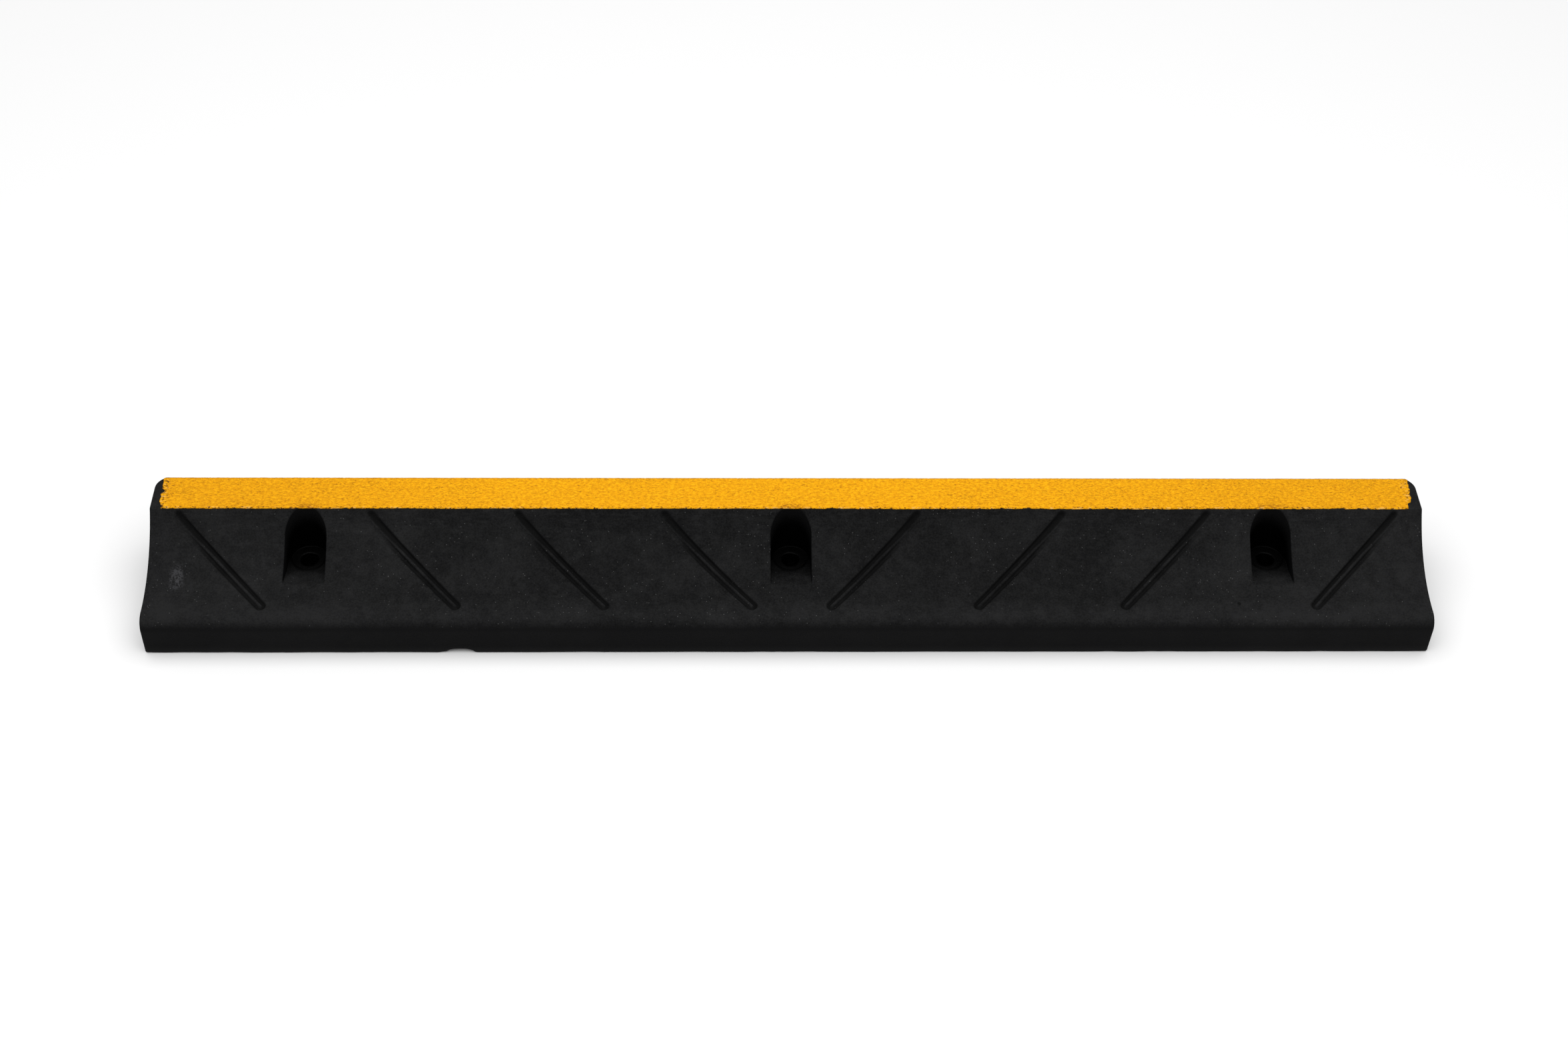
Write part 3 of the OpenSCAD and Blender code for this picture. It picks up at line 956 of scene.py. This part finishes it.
# %% [markdown]
# ## Coarse yellow coat
#
# The coat is full of grains a millimetre or so across, like grip paint. The grains stand proud and
# stay clean, and the gaps between them are deeper amber. Dark flecks lie in the deepest gaps, more of
# them along the front edge and at both ends. Behind each recess the coat is browner, and a fine dark
# line follows the crown of the recess. All of it comes from noise and from distances, because the
# grains have to run round both edges without a seam.

# %% Where the coat is worn, stained and cracked
yellow_mat, shader, maker, coords = new_finish("coarse_yellow_coat")
along, depth = split(maker, coords)[:2]
off_middle = along.math("ABSOLUTE")
to_hole = to_nearest_hole(along)
grains = noise(maker, coords, 600.0, 3.0, 0.7, stretch=(0.6, 1, 1))
wrinkles = noise(maker, coords, 430.0, 3.0, 0.65, stretch=(0.45, 1, 1), offset=(5, 0, 2))
lines = noise(maker, coords, 180.0, 2.0, 0.6, stretch=(0.06, 1, 1))
patches = noise(maker, coords, 14.0, 3.0, 0.6)

front = 1 - depth.step(0.0262, 0.0285)
behind_recess = (1 - to_hole.step(0.004, 0.015)) * (1 - depth.step(0.027, 0.0335))
towards_ends = off_middle.step(0.18, 0.46)
at_end = off_middle.step(0.4835, 0.4945)
wear = patches.step(0.38, 0.68) * 0.35 + lines.step(0.5, 0.66) * 0.5 + towards_ends * 0.35
crack = 1 - (wrinkles - 0.5).math("ABSOLUTE").step(0.004, 0.03)

CROWN_REACH = 0.0172  # metres from the middle of the recess's arch to the dark line
from_crown = depth - (HOLE_Y + LEAN_BACK - WIDTH / 2) / 1000
crown_off = (to_hole * to_hole + from_crown * from_crown).math("SQRT") - CROWN_REACH - wrinkles * 0.0022
# a dark line at each recess's crown, where the coat passes over the rim
crown_dark_line = (1 - crown_off.math("ABSOLUTE").step(0.0001, 0.0005)) * (1 - to_hole.step(0.005, 0.009))

amber = (1 - grains.step(0.36, 0.60)) * 0.75
gap = 0.36 + front * 0.085 + behind_recess * 0.02 + wear * 0.02 + at_end * 0.10
flecks = (gap - grains).step(0.0, 0.03)
grit = (front + at_end).step(0.2, 0.9) * (wrinkles - 0.56).step(0.0, 0.03)
print("nodes for the coat's wear:", len(yellow_mat.node_tree.nodes))

# %% [markdown]
# The colour is mixed in this order: amber gaps, fine wrinkles, a slight browning with age towards the
# ends together with the browner patch behind each recess, pale grit, then flecks and the dark line at
# each recess's crown.

# %% Yellow colour, gloss and grain
GRAIN_LOW, GRAIN_HIGH, AMBER = (0.91, 0.412, 0.004), (0.98, 0.475, 0.008), (0.68, 0.27, 0.003)
WRINKLE, BROWN, GRIT = (0.25, 0.10, 0.003), (0.42, 0.15, 0.004), (0.80, 0.50, 0.16)
FLECK, CROWN_LINE = (0.055, 0.022, 0.006), (0.24, 0.08, 0.006)
browned = towards_ends * 0.12 + behind_recess * grains.step(0.66, 0.42) * 0.65
fleck_share = (0.42 + 0.48 * (front + at_end).step(0.0, 0.6)) * (1 - behind_recess * 0.6)
lifted = colour(maker, GRAIN_LOW).mix(grains.step(0.5, 0.7), GRAIN_HIGH)
worn = lifted.mix(amber, AMBER).mix(crack * (0.25 + wear * 0.5), WRINKLE)
worn = worn.mix(browned, BROWN).mix(grit * 0.5, GRIT)
worn = worn.mix(flecks * fleck_share, FLECK).mix(crown_dark_line * 0.7, CROWN_LINE)
bumped = maker.node("ShaderNodeBump", Strength=0.6, Distance=0.0005, Height=grains - crack * 0.15)
finish(shader, Base_Color=worn, Roughness=0.80 - amber * 0.08, Normal=bumped)
finish(shader, Specular_IOR_Level=0.08)
coat.data.materials.append(yellow_mat)
print("yellow finish nodes:", len(yellow_mat.node_tree.nodes))

# %% [markdown]
# ## Floor and light
#
# A black bar on a white ground wants a large, soft, even light from overhead. Small lamps would draw
# hard edges in the recesses. The light that comes back up from the white floor is what shows the
# upright toe. The floor is plain and pale.

# %% Floor
FLOOR_REACH = 6.0
PALE = (0.94, 0.94, 0.94, 1.0)
corners = [(-1, -1), (1, -1), (1, 1), (-1, 1)]
floor_mesh = bpy.data.meshes.new("floor")
floor_mesh.from_pydata([(FLOOR_REACH * x, FLOOR_REACH * y, 0) for x, y in corners], [], [(0, 1, 2, 3)])
floor = bpy.data.objects.new("floor", floor_mesh)
bpy.context.scene.collection.objects.link(floor)
floor_mat, shader = new_finish("pale_floor")[:2]
finish(shader, Base_Color=PALE, Roughness=0.9, Specular_IOR_Level=0.1)
floor.data.materials.append(floor_mat)
print("floor", 2 * FLOOR_REACH, "m square")


# %% [markdown]
# The softbox is one area light above and a little in front of the bar. The world adds an even white
# from all sides, as a white room does, so that nothing falls into full shadow.

# %% Lights
def soft_light(name, place, aim, wide, deep, watts):
    """A rectangular area light at place, facing aim: its back axis points from aim to place."""
    lamp = bpy.data.lights.new(name, "AREA")
    lamp.shape, lamp.size, lamp.size_y, lamp.energy = "RECTANGLE", wide, deep, watts
    lamp_object = bpy.data.objects.new(name, lamp)
    back = np.array(place, float) - aim
    back /= np.linalg.norm(back)
    right = np.cross([0.0, 1.0, 0.0], back)
    right /= np.linalg.norm(right)
    pose = np.eye(4)
    pose[:3, :3] = np.column_stack([right, np.cross(back, right), back])
    pose[:3, 3] = place
    lamp_object.matrix_world = Matrix(pose.tolist())
    bpy.context.scene.collection.objects.link(lamp_object)


soft_light("overhead_softbox", place=(0.0, -0.2, 2.4), aim=(0.0, 0.1, 0.0), wide=4.2, deep=3.4, watts=76.0)
ROOM_WHITE, ROOM_STRENGTH = (1.0, 1.0, 1.0, 1.0), 0.42
world = bpy.data.worlds.new("studio")
bpy.context.scene.world = world
world.use_nodes = True
background = world.node_tree.nodes["Background"]
background.inputs["Color"].default_value = ROOM_WHITE
background.inputs["Strength"].default_value = ROOM_STRENGTH
bpy.context.scene.view_settings.view_transform = "Standard"
print("world strength", ROOM_STRENGTH)
